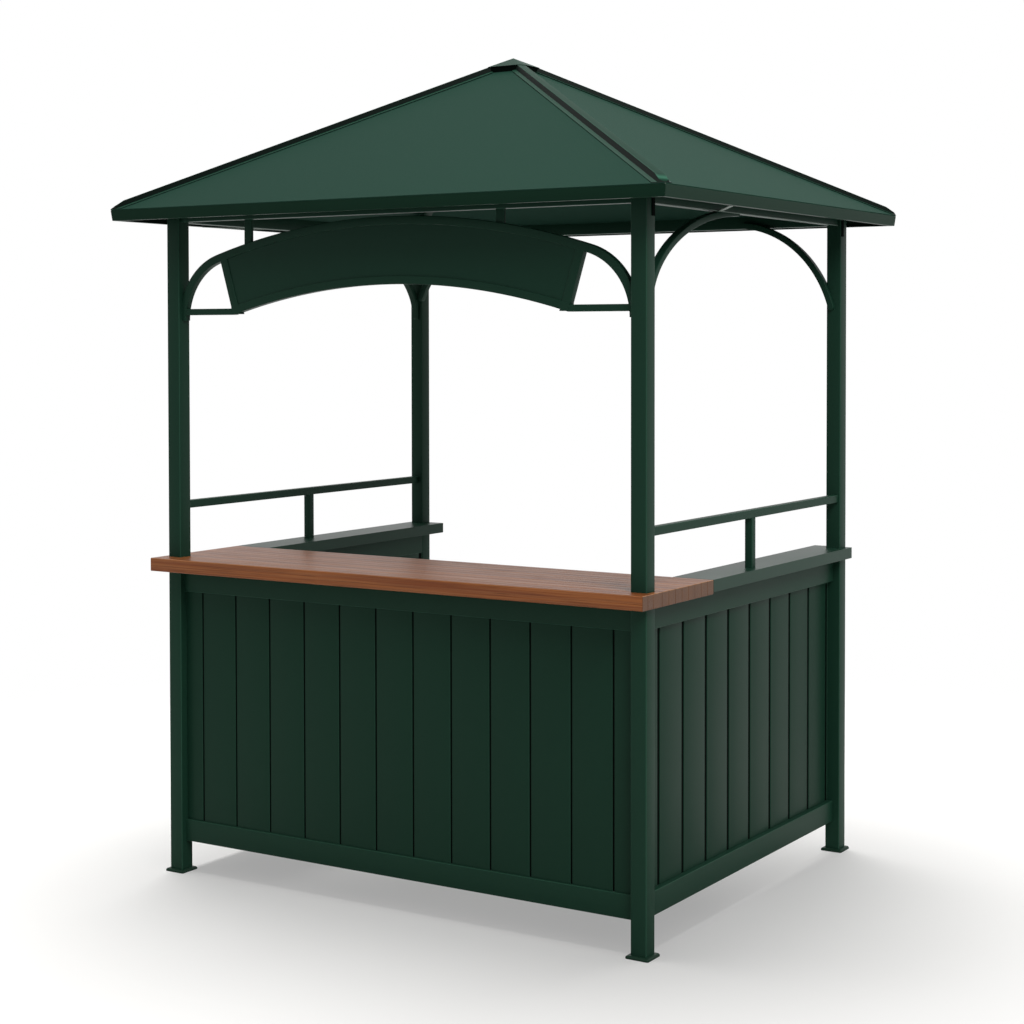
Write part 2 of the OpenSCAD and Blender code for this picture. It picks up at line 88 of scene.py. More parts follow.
class PavilionSizes(bpy.types.PropertyGroup):
    """Sizes that the frame's boxes don't hold."""
    tube_edge: length("Tube edge", "Corner radius of the square steel tubes", 0.0030)
    bar_edge: length("Bar edge", "Corner radius of the arch, braces and rails", 0.0022)
    sheet_edge: length("Sheet edge", "Fold radius of shelves and trims", 0.0020)
    board_edge: length("Board edge", "Radius of the wall boards' long edges", 0.0014)
    front_pitch: length("Front board pitch", "Distance between the front grooves", 0.1374)
    side_pitch: length("Side board pitch", "Distance between the side grooves", 0.1483)
    side_last: length("Last side groove", "Distance of the last side groove from the back post",
                      0.013)
    front_groove: length("Front groove", "Width of the grooves in the front wall", 0.0065)
    side_groove: length("Side groove", "Width of the grooves in the side walls", 0.0150)
    plank_edge: length("Plank edge", "Radius of the counter planks' edges", 0.0006)
    counter_edge: length("Counter edge", "Radius of the counter's outer edges", 0.0030)
    plank_width: length("Plank width", "Width that the counter's planks come near to", 0.039)
    arch_end_radius: length("Arch end radius", "Outer radius of the arch's two ends", 0.215)
    hanger_width: length("Hanger width", "Width of the hangers over the arch", 0.028)
    brace_reach: length("Side brace reach", "How far a side brace runs along its beam", 0.560)
    brace_drop: length("Side brace drop", "Drop of a side brace's whole curve", 0.284)
    brace_set: length("Side brace set", "Depth of a side brace's upper end under its beam",
                      0.008)
    back_reach: length("Back brace reach", "How far a back brace runs along its beam", 0.345)
    back_drop: length("Back brace drop", "Drop of a back brace's whole curve", 0.390)
    back_foot: length("Back brace foot", "How far a back brace comes down its post", 0.270)
    back_short: length("Left brace foot", "How far the left back brace ends above that", 0.048)
    back_lap: length("Back brace lap", "How far a back brace's foot laps over its post", 0.018)
    brace_depth: length("Brace depth", "Thickness of a brace's flat bar", 0.020)
    hip_strip: length("Hip strip", "Width of a hip cap's raised strip", 0.033)
    hip_height: length("Hip height", "Height of a hip cap's raised strip", 0.014)
    hip_lean: length("Hip lean", "How far the raised strip's sides lean in", 0.003)
    hip_flange: length("Hip flange", "Width of a hip cap's flange", 0.011)
    hip_end: length("Hip end", "Length over which a hip cap folds down at its foot", 0.030)
    hem: length("Eave hem", "Width of the folded hem along an eave trim's top", 0.0050)
    beam_lip: length("Beam lip", "Radius of the bead along the side beams' lower edge", 0.0022)


class PavilionColours(bpy.types.PropertyGroup):
    """Colours of the finishes."""
    frame: paint("Frame", "Powder coat on the tubes", (0.098, 0.212, 0.162))
    boards: paint("Boards", "Paint on the wall boards", (0.084, 0.194, 0.146))
    # Near black, painted shade: the strips deep in the boards' grooves, the hip strips' upright
    # sides and the filler under the top cap. The beam clips are coated in it too.
    groove: paint("Grooves", "Shaded backing in the boards' grooves", (0.02, 0.04, 0.03))
    roof: paint("Roof", "Fine-textured coat on the roof sheets", (0.124, 0.244, 0.200))
    # A darker copy of the frame's green: painted shade for the eave trims, which lean to face a
    # little downwards.
    trim: paint("Trims", "Powder coat on the eave trims and hip caps", (0.072, 0.174, 0.126))
    hip: paint("Hip caps", "Powder coat on the hip strips and the top cap",
               (0.100, 0.225, 0.175))
    name_board: paint("Name board", "Satin coat on the blank name board", (0.096, 0.212, 0.163))
    feet: paint("Feet", "Powder coat on the foot plates", (0.100, 0.190, 0.145))
    # A painted highlight: the light bead along the side beams' lower edges and the straps out to
    # the trims.
    lip: paint("Lips", "Lighter, rubbed coat on the beams' lower edges", (0.36, 0.43, 0.39))
    wood: paint("Wood", "Middle tone of the counter's wood", (0.64, 0.375, 0.170))
    wood_dark: paint("Dark wood", "Late wood and dark planks", (0.45, 0.225, 0.095))
    wood_end: paint("End grain", "The planks' cut ends", (0.31, 0.205, 0.120))
    # Light streaks in the grain, and the painted highlight on the counter's rounded edges.
    wood_light_and_highlight: paint("Light wood", "Worn wood along the edges", (0.82, 0.58, 0.38))
    # A painted highlight: the pale bead over each mitre where the eave trims meet.
    corner_highlight: paint("Worn edge", "Bare edge where the eave trims meet", (0.62, 0.68, 0.62))
    floor: paint("Floor", "Pale studio floor", (0.93, 0.925, 0.915))


def sizes():
    return bpy.context.scene.pavilion_sizes


def colours():
    return bpy.context.scene.pavilion_colours


# ---------------------------------------------------------------------------
# Shader maths
# ---------------------------------------------------------------------------

def linear(colour):
    """The linear light of a colour as it is shown: ((c + 0.055) / 1.055) to the power 2.4,
    or c / 12.92 near black."""
    shown = np.array(colour[:3], float)
    return np.where(shown <= 0.04045, shown / 12.92, ((shown + 0.055) / 1.055) ** 2.4)


class Signal:
    """A number that changes over a surface. Arithmetic on it adds Math nodes."""

    def __init__(self, shader, socket):
        self.shader = shader
        self.socket = socket

    def _maths(self, operation, first, second):
        return self.shader.node("ShaderNodeMath", {"operation": operation},
                                {0: first, 1: second})

    def __add__(self, other):
        return self._maths("ADD", self, other)

    def __radd__(self, other):
        return self._maths("ADD", other, self)

    def __sub__(self, other):
        return self._maths("SUBTRACT", self, other)

    def __rsub__(self, other):
        return self._maths("SUBTRACT", other, self)

    def __mul__(self, other):
        return self._maths("MULTIPLY", self, other)

    def __truediv__(self, other):
        return self._maths("DIVIDE", self, other)

    def __abs__(self):
        return self._maths("ABSOLUTE", self, 0.0)

    def floor(self):
        return self._maths("FLOOR", self, 0.0)

    def maximum(self, other):
        return self._maths("MAXIMUM", self, other)

    def clamped(self):
        return self.shader.node("ShaderNodeClamp", {}, {"Value": self})


class Shader:
    """A material's node tree, filled through one method."""

    def __init__(self, owner):
        owner.use_nodes = True
        self.tree = owner.node_tree
        self.tree.nodes.clear()

    def node(self, kind, settings, inputs, output=0):
        """Adds a node: its settings first, then the values or links of its sockets."""
        made = self.tree.nodes.new(kind)
        for name, value in settings.items():
            if name == "stops":
                self._set_stops(made.color_ramp, value)
            else:
                setattr(made, name, value)
        for name, value in inputs.items():
            socket = made.inputs[name]
            if isinstance(value, Signal):
                self.tree.links.new(value.socket, socket)
            else:
                socket.default_value = value
        return Signal(self, made.outputs[output])

    @staticmethod
    def _set_stops(ramp, stops):
        while len(ramp.elements) < len(stops):
            ramp.elements.new(1.0)
        for element, (place, value) in zip(ramp.elements, stops):
            element.position = place
            element.color = (value, value, value, 1.0)

    def place(self, stretch=(1.0, 1.0, 1.0)):
        """Object coordinates, stretched by a factor along each axis."""
        coordinates = self.node("ShaderNodeTexCoord", {}, {}, "Object")
        return self.node("ShaderNodeMapping", {"vector_type": "POINT"},
                         {"Vector": coordinates, "Scale": stretch})

    def facing(self, axis):
        """How far the surface faces along an axis, from -1 to 1."""
        normal = self.node("ShaderNodeNewGeometry", {}, {}, "Normal")
        return self.node("ShaderNodeSeparateXYZ", {}, {"Vector": normal}, axis)

    def noise(self, scale, detail=2.0, roughness=0.5, stretch=(1.0, 1.0, 1.0), distortion=0.0):
        return self.node("ShaderNodeTexNoise", {"noise_dimensions": "3D"},
                         {"Vector": self.place(stretch), "Scale": scale, "Detail": detail,
                          "Roughness": roughness, "Distortion": distortion}, "Fac")

    def ramp(self, value, stops):
        return self.node("ShaderNodeValToRGB", {"stops": stops}, {"Fac": value})

    def blend(self, factor, first, second):
        """Mixes two colours, each a link or three linear numbers."""
        made = self.tree.nodes.new("ShaderNodeMix")
        made.data_type = "RGBA"
        made.clamp_factor = True
        for name, value in (("Factor_Float", factor), ("A_Color", first), ("B_Color", second)):
            socket = next(s for s in made.inputs if s.identifier == name)
            if isinstance(value, Signal):
                self.tree.links.new(value.socket, socket)
            elif name == "Factor_Float":
                socket.default_value = value
            else:
                socket.default_value = (*value, 1.0)
        return Signal(self, next(s for s in made.outputs if s.identifier == "Result_Color"))

    def bump(self, height, distance):
        return self.node("ShaderNodeBump", {},
                         {"Height": height, "Distance": distance, "Strength": 1.0})

    def surface(self, **inputs):
        """Closes the tree with a Principled shader, whose sockets are given by name."""
        named = {name.replace("_", " "): value for name, value in inputs.items()}
        return self.output(self.node("ShaderNodeBsdfPrincipled", {}, named))

    def output(self, shader, kind="ShaderNodeOutputMaterial"):
        target = self.tree.nodes.new(kind)
        self.tree.links.new(shader.socket, target.inputs["Surface"])
        return shader


# ---------------------------------------------------------------------------
# Finishes
# ---------------------------------------------------------------------------

def coat(name, colour, roughness=0.42, specular=0.07, painted_light=None):
    """Satin powder coat: a fine orange peel in the bump, with slow and fine changes of tone.
    A painted-light function may change the shade by where the surface faces: painted highlights
    on arrises, painted shade on upright sides."""
    material = bpy.data.materials.new(name)
    shader = Shader(material)
    base = linear(colour)
    slow = shader.noise(2.2, 3.0)
    fine = shader.noise(420.0, 2.0, 0.6)
    shade = shader.blend(slow * 0.65 + fine * 0.35, base * 0.9, base * 1.1)
    if painted_light:
        shade = painted_light(shader, shade, base, slow)
    shader.surface(
        Base_Color=shade,
        Roughness=roughness + (slow - 0.5) * 0.10,
        Specular_IOR_Level=specular,
        Normal=shader.bump(fine, 0.00006),
    )
    return material


def highlighted(amount):
    """Painted highlight for square-built pieces: lighter on the rounded arrises, where no part
    of the normal is near 1."""
    def painted_light(shader, shade, base, slow):
        square = abs(shader.facing("X")).maximum(abs(shader.facing("Y"))).maximum(
            abs(shader.facing("Z")))
        arris = ((0.97 - square) * 6.0).clamped()
        # Painted highlight: the arrises blend towards a far lighter green.
        return shader.blend(arris * (slow * 0.8 + 0.6) * amount, shade, base * 3.4 + 0.015)
    return painted_light


def hip_shade_and_highlight(shader, shade, base, slow):
    """Painted light for the raised hip strips: a painted highlight on the rounded arrises, where
    the normal leans between the flat top and the sides, and painted shade on the upright sides."""
    up = shader.facing("Z")
    # side masks the upright sides for painted shade, arris the rounded arrises for a painted
    # highlight
    side = ((0.58 - up) * 6.0).clamped()
    arris = (1.0 - abs(up - 0.74) * 9.0).clamped()
    shade = shader.blend(side * 0.9, shade, linear(colours().groove))
    return shader.blend(arris * (slow * 0.6 + 0.25), shade, base * 5.0 + 0.02)


def roof_coat():
    """Fine-textured coat: small light and dark grains, a few millimetres across."""
    material = bpy.data.materials.new("roof_coat")
    shader = Shader(material)
    base = linear(colours().roof)
    slow = shader.noise(1.6, 3.0)
    grains = shader.noise(210.0, 3.0, 0.7)
    specks = shader.ramp(shader.noise(520.0, 1.0), [(0.52, 0.0), (0.72, 1.0)])
    mottled = shader.blend(slow * 0.3 + grains * 0.7, base * 0.84, base * 1.16)
    shader.surface(
        Base_Color=shader.blend(specks * 0.35, mottled, base * 1.5),
        Roughness=0.62 + (grains - 0.5) * 0.22,
        Specular_IOR_Level=0.03,
        Normal=shader.bump(grains, 0.00022),
    )
    return material


def counter_wood(plank_width):
    """Oiled planks. The grain runs along X: noise stretched 40 to 120 times along it, over a
    tone of its own for each plank, whose number is Y divided by the plank's width. The cut
    ends, which face along X, are darker, and the rounded edges, which face neither up nor out,
    are painted lighter: a painted highlight."""
    material = bpy.data.materials.new("counter_wood")
    shader = Shader(material)
    tones = colours()
    coordinates = shader.node("ShaderNodeTexCoord", {}, {}, "Object")
    y = shader.node("ShaderNodeSeparateXYZ", {}, {"Vector": coordinates}, "Y")
    number = (y / plank_width).floor()
    plank = shader.node("ShaderNodeTexWhiteNoise", {"noise_dimensions": "1D"}, {"W": number},
                        "Value")
    streaks = shader.noise(9.0, 6.0, 0.62, (0.16, 7.0, 7.0), 0.6)
    lines = shader.noise(40.0, 3.0, 0.6, (0.05, 6.0, 6.0))
    pores = shader.ramp(shader.noise(130.0, 2.0, 0.5, (0.045, 3.0, 3.0)),
                        [(0.30, 1.0), (0.46, 0.0)])
    tone = (streaks * 1.9 - 0.45 + (plank - 0.5) * 0.60).clamped()
    wood = shader.blend(tone, linear(tones.wood_dark), linear(tones.wood))
    wood = shader.blend((lines * 2.2 - 0.85).clamped() * 0.5, wood,
                        linear(tones.wood_light_and_highlight) * 0.62)
    wood = shader.blend(pores * 0.6, wood, linear(tones.wood_dark) * 0.45)
    ends = ((abs(shader.facing("X")) - 0.55) * 5.0).clamped()
    wood = shader.blend(ends * 0.85, wood, linear(tones.wood_end))
    # Painted highlight: the rounded edges, which face neither up nor out, are lightened.
    edges = (1.0 - abs(shader.facing("Z") - 0.62) * 3.4).clamped()
    wood = shader.blend(edges * (0.35 + lines * 0.7).clamped(), wood,
                        linear(tones.wood_light_and_highlight))
    shader.surface(
        Base_Color=wood,
        Roughness=0.30 + streaks * 0.16 + pores * 0.15,
        Specular_IOR_Level=0.24,
        Normal=shader.bump(lines * 0.6 + pores * -0.8, 0.00025),
    )
    return material


FINISHES = {
    "frame_paint": lambda: coat("frame_coat", colours().frame, painted_light=highlighted(0.34)),
    "bent_coat": lambda: coat("bent_coat", colours().frame),
    "hip_coat": lambda: coat("hip_coat", colours().hip, specular=0.04, painted_light=hip_shade_and_highlight),
    "foot_paint": lambda: coat("foot_coat", colours().feet, 0.40),
    "board_paint": lambda: coat("board_coat", colours().boards, 0.44, painted_light=highlighted(0.30)),
    "shelf_paint": lambda: coat("shelf_coat", colours().frame, 0.36, 0.11),
    "trim_paint": lambda: coat("trim_coat", colours().trim, 0.40, 0.04, highlighted(0.75)),
    "name_board_paint": lambda: coat("name_board_coat", colours().name_board, 0.38),
    "groove_shade": lambda: coat("groove_shade", colours().groove, 0.8, 0.02),
    "lip_highlight_coat": lambda: coat("lip_highlight_coat", colours().lip, 0.45, 0.2),
    "corner_highlight_coat": lambda: coat("corner_highlight_coat", colours().corner_highlight, 0.45, 0.5),
    "roof_paint": roof_coat,
    "counter_wood": lambda: counter_wood(sizes().plank_width),
}


def finish(name):
    """The material of that name, made the first time that it is asked for."""
    known = bpy.context.scene.get("pavilion_finishes", {})
    if name not in known:
        material = FINISHES[name]()
        bpy.context.scene["pavilion_finishes"] = {**dict(known), name: material.name}
        return material
    return bpy.data.materials[known[name]]


# ---------------------------------------------------------------------------
# Surfaces
# ---------------------------------------------------------------------------

def corners_of(node):
    """The lowest and highest corner of a frame node, as arrays."""
    low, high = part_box(node)
    return np.array(low), np.array(high)


def skin(grid):
    """Faces over rows of points. Each row is a closed outline: point k of a row joins point
    k + 1 and the same two points of the next row, and a lid closes the first and last row."""
    rows, count = grid.shape[:2]
    here = np.arange(count)
    after = np.roll(here, -1)
    row = (np.arange(rows - 1) * count)[:, None]
    sides = np.stack([row + here, row + after, row + count + after, row + count + here], -1)
    lids = [here[::-1].tolist(), ((rows - 1) * count + here).tolist()]
    return grid.reshape(-1, 3), sides.reshape(-1, 4).tolist() + lids


def spread(x, y, z):
    """Three coordinates, each repeated until their shapes agree, as one grid of points."""
    return np.stack(np.broadcast_arrays(x, y, z), -1)


def circle(count):
    """Evenly turned directions (cos a, sin a) round a whole circle."""
    angle = np.linspace(0, 2 * pi, count + 1)[:-1]
    return np.stack([np.cos(angle), np.sin(angle)], -1)


def joined(parts):
    """Several skins as one: each later one's face numbers start after the points before it."""
    points = np.concatenate([p for p, _ in parts])
    starts = np.cumsum([0] + [len(p) for p, _ in parts[:-1]])
    faces = [[int(v) + int(start) for v in face]
             for (_, some), start in zip(parts, starts) for face in some]
    return points, faces


def soft_outline(corners, radius):
    """A closed outline with round corners. Each corner gives way to an arc that touches both
    its sides: the centre lies on the bisector, the radius over the sine of half the angle away,
    and the points turn evenly from one touching point to the other."""
    corners = np.asarray(corners, float)
    radius = np.broadcast_to(np.asarray(radius, float), len(corners))
    before = np.roll(corners, 1, 0) - corners
    after = np.roll(corners, -1, 0) - corners
    before /= np.linalg.norm(before, axis=1)[:, None]
    after /= np.linalg.norm(after, axis=1)[:, None]
    half = 0.5 * np.arccos(np.clip((before * after).sum(1), -1, 1))
    bisector = before + after
    bisector /= np.linalg.norm(bisector, axis=1)[:, None]
    centre = corners + bisector * (radius / np.sin(half))[:, None]
    setback = (radius / np.tan(half))[:, None]
    first = corners + before * setback - centre
    last = corners + after * setback - centre
    start = np.arctan2(first[:, 1], first[:, 0])
    turn = (np.arctan2(last[:, 1], last[:, 0]) - start + pi) % (2 * pi) - pi
    angle = start[:, None] + turn[:, None] * np.linspace(0, 1, EDGE_STEPS + 1)
    arcs = np.stack([np.cos(angle), np.sin(angle)], -1) * radius[:, None, None]
    return (centre[:, None] + arcs).reshape(-1, 2)


def rounded_rectangle(low, high, radius):
    """Corner centres and outward directions of a rectangle with round corners, so that the
    outline drawn in by d is centre + (radius - d) * direction."""
    angle = np.linspace(0, pi / 2, EDGE_STEPS + 1)
    turned = angle + np.arange(4)[:, None] * pi / 2
    direction = np.stack([np.cos(turned), np.sin(turned)], -1)
    sign = np.array([[1, 1], [-1, 1], [-1, -1], [1, -1]])
    middle = (np.asarray(low) + np.asarray(high)) / 2
    reach = (np.asarray(high) - np.asarray(low)) / 2 - radius
    centre = middle + sign[:, None, :] * reach
    return np.broadcast_to(centre, direction.shape).reshape(-1, 2), direction.reshape(-1, 2)


def box_bar(low, high, axis, radius, end_radius=0.0):
    """A bar that fills a box. Its long edges have one radius and its ends another: near an end
    the outline is drawn in by r (1 - sin a) at the depth r (1 - cos a)."""
    low, high = np.asarray(low, float), np.asarray(high, float)
    across, up = [a for a in range(3) if a != axis]
    centre, direction = rounded_rectangle(low[[across, up]], high[[across, up]], radius)
    turn = np.linspace(0, pi / 2, EDGE_STEPS + 1) if end_radius else np.array([pi / 2])
    drawn_in = end_radius * (1 - np.sin(turn))
    depth = end_radius * (1 - np.cos(turn))
    drawn_in = np.concatenate([drawn_in, drawn_in[::-1]])
    along = np.concatenate([low[axis] + depth, high[axis] - depth[::-1]])
    outline = centre + (radius - drawn_in)[:, None, None] * direction
    grid = np.empty((len(along), len(centre), 3))
    grid[..., across] = outline[..., 0]
    grid[..., up] = outline[..., 1]
    grid[..., axis] = along[:, None]
    return skin(grid)


def put(name, parts, slot, replaced=(), material=None):
    """Makes one piece of several skins, with its normals outwards and its soft edges smooth."""
    points, faces = joined(parts)
    mesh = bpy.data.meshes.new(name)
    mesh.from_pydata(points.tolist(), [], faces)
    shell = bmesh.new()
    shell.from_mesh(mesh)
    bmesh.ops.remove_doubles(shell, verts=shell.verts, dist=1e-6)
    bmesh.ops.recalc_face_normals(shell, faces=shell.faces)
    shell.to_mesh(mesh)
    shell.free()
    return shown(name, mesh, slot, replaced, material)


def shown(name, mesh, slot, replaced=(), material=None):
    """Links a mesh as a piece that rides on the frame, and hides the frame nodes that it stands
    for.
    """
    mesh.shade_smooth()
    mesh.set_sharp_from_angle(angle=SMOOTH_ANGLE)
    mesh.materials.clear()
    mesh.materials.append(finish(material or slot))
    piece = bpy.data.objects.new(name, mesh)
    bpy.context.scene.collection.objects.link(piece)
    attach(piece, BODY)
    if replaced:
        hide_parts(*replaced)
    return piece


def keep_node(node, slot):
    """A frame node whose shape is right gets its finish."""
    piece = frame["nodes"][node]
    piece.data.materials.clear()
    piece.data.materials.append(finish(slot))


def eased_copy(name, node, slot, width, material=None):
    """A merged copy of a frame node with its sharp edges bevelled, in the node's place."""
    mesh = frame["nodes"][node].data.copy()
    shell = bmesh.new()
    shell.from_mesh(mesh)
    bmesh.ops.remove_doubles(shell, verts=shell.verts, dist=1e-5)
    bmesh.ops.dissolve_limit(shell, angle_limit=radians(0.5), verts=shell.verts,
                             edges=shell.edges)
    shell.to_mesh(mesh)
    shell.free()
    piece = shown(name, mesh, slot, (node,), material)
    bevel = piece.modifiers.new("eased edges", "BEVEL")
    bevel.width = width
    bevel.segments = 2
    bevel.limit_method = "ANGLE"
    bevel.angle_limit = radians(30)
    bevel.harden_normals = True
    return piece


# ---------------------------------------------------------------------------
# Roof geometry that several pieces share
# ---------------------------------------------------------------------------

def roof():
    """Half width, half depth, eave height and point height of the roof sheets."""
    low, high = corners_of("eave_trim_front")
    top = corners_of("roof_sheet_front")[1][2]
    return high[0] + MITRE_GAP, -low[1], high[2], top


# ---------------------------------------------------------------------------
# Pieces
# ---------------------------------------------------------------------------

POSTS = {"post_front_left": (-1, -1), "post_front_right": (1, -1),
         "post_back_left": (-1, 1), "post_back_right": (1, 1)}


class PAVILION_OT_posts(bpy.types.Operator):
    """Square posts with soft corners, cut on a slope under the rafters"""
    bl_idname = "pavilion.posts"
    bl_label = "Posts"

    def execute(self, context):
        half_w, half_d, eave, top = roof()
        hip = np.array([half_w, half_d]) / hypot(half_w, half_d)
        slope = (top - eave) / hypot(half_w, half_d)
        for node, side in POSTS.items():
            low, high = corners_of(node)
            points, faces = box_bar(low, high, 2, sizes().tube_edge)
            # The top follows the hip: height falls by the slope for each metre outwards
            run = points[:, :2] @ (hip * side)
            raised = points[:, 2] > low[2] + 0.1
            points[raised, 2] = high[2] - slope * (run - run.min())[raised]
            put(f"{node}_tube", [(points, faces)], "frame_paint", (node,))
        return {"FINISHED"}


class PAVILION_OT_feet(bpy.types.Operator):
    """Plates under the posts, with a sloping shoulder and round corners"""
    bl_idname = "pavilion.feet"
    bl_label = "Foot plates"

    def execute(self, context):
        low, high = corners_of("foot_plates")
        post_low, post_high = corners_of("post_front_left")
        lip = post_low[0] - low[0]
        height, corner = high[2], 0.006
        # Outline drawn in, against height: a soft foot, an upright edge, then the shoulder
        drawn_in = np.array([0.0012, 0.0003, 0.0, 0.0, 0.0008, 0.0040, 0.0050])
        level = np.array([0.0, 0.0004, 0.0012, 0.52 * height, 0.66 * height, 0.97 * height,
                          height])
        parts = []
        for side in POSTS.values():
            middle = np.array(side) * np.abs(post_low[:2] + post_high[:2]) / 2
            half = (post_high[0] - post_low[0]) / 2 + lip
            centre, direction = rounded_rectangle(middle - half, middle + half, corner)
            x, y = np.moveaxis(centre + (corner - drawn_in)[:, None, None] * direction, -1, 0)
            parts.append(skin(spread(x, y, level[:, None])))
        put("foot_plates_shaped", parts, "foot_paint", ("foot_plates",))
        return {"FINISHED"}


class PAVILION_OT_rails(bpy.types.Operator):
    """Rails of the lower walls, beams under the eaves, handrails and their uprights"""
    bl_idname = "pavilion.rails"
    bl_label = "Rails and beams"

    def execute(self, context):
        edge = sizes().bar_edge
        rails = (("front_bottom_rail", "front_top_rail", "front_beam", "back_beam"),
                 ("left_bottom_rail", "left_top_rail", "right_bottom_rail", "right_top_rail",
                  "left_beam", "right_beam", "left_handrail", "right_handrail"))
        for axis, nodes in enumerate(rails):
            for node in nodes:
                put(f"{node}_tube", [box_bar(*corners_of(node), axis, edge)], "frame_paint",
                    (node,))
        low, high = corners_of("handrail_uprights")
        width = high[1] - low[1]
        parts = [box_bar([x, low[1], low[2]], [x + width, high[1], high[2]], 2, edge)
                 for x in (low[0], high[0] - width)]
        put("handrail_uprights_tubes", parts, "frame_paint", ("handrail_uprights",))
        self.beam_highlight_beads()
        return {"FINISHED"}

    @staticmethod
    def beam_highlight_beads():
        """A bead along the outer lower edge of each side beam: a circle carried along Y, in a
        light coat that is a painted highlight along that edge.
        """
        radius = sizes().beam_lip
        low, high = corners_of("right_beam")
        ring = radius * circle(12)
        parts = [skin(spread(side * (high[0] - radius / 2 + ring[:, 0]),
                             np.array([[low[1]], [high[1]]]),
                             low[2] + 0.6 * radius + ring[:, 1]))
                 for side in (-1, 1)]
        put("beam_highlight_beads", parts, "frame_paint", material="lip_highlight_coat")


def board_wall(name, node, axis, grooves, width):
    """Upright boards side by side along an axis. A board runs from half a groove after one
    groove's middle to half a groove before the next, and a near-black strip backs each groove as
    painted shade deep in the groove. No board is made where there is hardly any room for one."""
    low, high = corners_of(node)
    depth_axis = 1 - axis
    half_strip, strip_edge = 0.0009, 0.0002
    starts = np.concatenate([[low[axis]], grooves + width / 2])
    ends = np.concatenate([grooves - width / 2, [high[axis]]])
    boards, backs = [], []
    for start, end in zip(starts, ends):
        if end - start > 3 * sizes().board_edge:
            near, far = low.copy(), high.copy()
            near[axis], far[axis] = start, end
            boards.append(box_bar(near, far, 2, sizes().board_edge))
    middle = (low[depth_axis] + high[depth_axis]) / 2
    for groove in grooves:
        near, far = low.copy(), high.copy()
        near[axis], far[axis] = groove - width, groove + width
        near[depth_axis], far[depth_axis] = middle - half_strip, middle + half_strip
        near[2] += HIDDEN_LAP
        far[2] -= HIDDEN_LAP
        backs.append(box_bar(near, far, 2, strip_edge))
    put(f"{name}_boards_grooved", boards, "board_paint", (node,))
    put(f"{name}_groove_strips", backs, "board_paint", material="groove_shade")


class PAVILION_OT_boards(bpy.types.Operator):
    """Grooved boards in the front and side walls"""
    bl_idname = "pavilion.boards"
    bl_label = "Wall boards"

    def execute(self, context):
        own = sizes()
        low, high = corners_of("front_boards")
        count = int((high[0] - low[0]) / own.front_pitch)
        grooves = (np.arange(count) - (count - 1) / 2) * own.front_pitch
        board_wall("front", "front_boards", 0, grooves, own.front_groove)
        for side in ("left", "right"):
            node = f"{side}_boards"
            low, high = corners_of(node)
            last = high[1] - own.side_last
            count = int((last - low[1]) / own.side_pitch) + 1
            grooves = last - np.arange(count)[::-1] * own.side_pitch
            board_wall(side, node, 1, grooves, own.side_groove)
        return {"FINISHED"}


class PAVILION_OT_counter(bpy.types.Operator):
    """The wooden counter: narrow planks side by side, cut round the two front posts"""
    bl_idname = "pavilion.counter"
    bl_label = "Counter"

    def execute(self, context):
        own = sizes()
        low, high = corners_of("counter_top")
        post_low, post_high = corners_of("post_front_left")
        gap = 0.001
        hole = (post_low[1] - gap, post_high[1] + gap)
        front = np.linspace(low[1], hole[0], round((hole[0] - low[1]) / own.plank_width) + 1)
        back = np.linspace(hole[1], high[1], round((high[1] - hole[1]) / own.plank_width) + 1)
        edges = np.concatenate([front, back])
        inner, outer = -post_high[0] - gap, -post_low[0] + gap
        parts = []
        for start, end in zip(edges[:-1], edges[1:]):
            spans = [(low[0], high[0])]
            if np.isclose(start, hole[0]):
                spans = [(low[0], -outer), (-inner, inner), (outer, high[0])]
            for left, right in spans:
                parts.append(self.plank(low, high, start, end, left, right))
        put("counter_planks", parts, "counter_wood", ("counter_top",))
        return {"FINISHED"}

    @staticmethod
    def plank(low, high, start, end, left, right):
        """A plank along X. Its outline is a rectangle whose corners at the counter's own front
        and back have the counter's radius, and whose other corners are nearly sharp."""
        own = sizes()
        first = own.counter_edge if np.isclose(start, low[1]) else own.plank_edge
        last = own.counter_edge if np.isclose(end, high[1]) else own.plank_edge
        outline = soft_outline([(start, low[2]), (end, low[2]), (end, high[2]),
                                (start, high[2])], [first, last, last, first])
        middle = outline.mean(0)
        ease = own.plank_edge * 2
        along = np.array([left, left + ease, right - ease, right])
        shrink = np.array([ease, 0, 0, ease])
        reach = np.abs(outline - middle).max(0)
        scale = 1 - shrink[:, None, None] / reach
        y, z = np.moveaxis(middle + (outline - middle) * scale, -1, 0)
        return skin(spread(along[:, None], y, z))


class PAVILION_OT_shelves(bpy.types.Operator):
    """Folded steel shelves on the side walls, with their end caps"""
    bl_idname = "pavilion.shelves"
    bl_label = "Side shelves"

    def execute(self, context):
        for side in ("left", "right"):
            eased_copy(f"{side}_shelf_folded", f"{side}_shelf", "shelf_paint", width=0.0009)
        eased_copy("shelf_end_caps_eased", "shelf_end_caps", "shelf_paint", width=0.0007)
        return {"FINISHED"}


def bent_bar(centre, half, radius, angles, low_y, high_y, edge, face=np.inf):
    """A rectangular bar along an arc in X and Z: at the angle a from upright its middle lies at
    the centre + r (sin a, cos a), and its depth adds to r. No point passes the posts' face."""
    middle, direction = rounded_rectangle((-half, low_y), (half, high_y), edge)
    outline = middle + edge * direction
    offset = outline[:, 0]
    x = centre[0] + (radius + offset) * np.sin(angles)[:, None]
    z = centre[1] + (radius + offset) * np.cos(angles)[:, None]
    return skin(spread(x.clip(-face, face), outline[:, 1], z))


